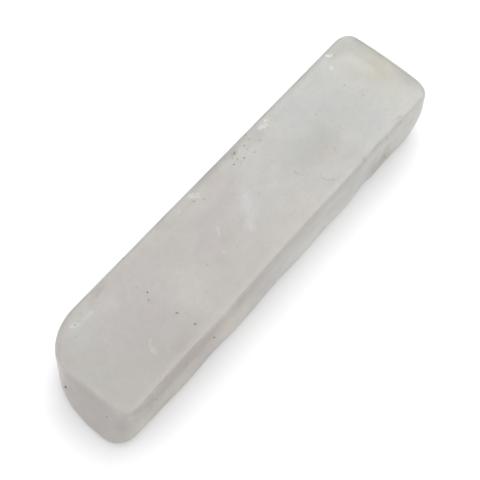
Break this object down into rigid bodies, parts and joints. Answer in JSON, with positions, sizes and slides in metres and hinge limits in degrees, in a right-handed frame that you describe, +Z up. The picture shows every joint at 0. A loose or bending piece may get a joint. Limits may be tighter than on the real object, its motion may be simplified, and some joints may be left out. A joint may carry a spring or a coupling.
{
  "type": "rose quartz bar",
  "caption": "Tumbled bar of milky rose quartz with a slanted end, level faces, rounded edges and small natural pits; lies flat on a surface.",
  "frame": {"origin": "middle of the flat underside, at the centre of the bounding box's base", "axes": "+X along the bar from its slanted end to its upright end, +Z up from the flat face it rests on"},
  "size_m": [0.079, 0.0194, 0.0108],
  "materials": {
    "rose_quartz": "tumble-polished, satin to semi-gloss, milky and faintly translucent"
  },
  "bodies": {
    "root": {"rose_quartz_point": "rose_quartz"}
  },
  "joints": []
}
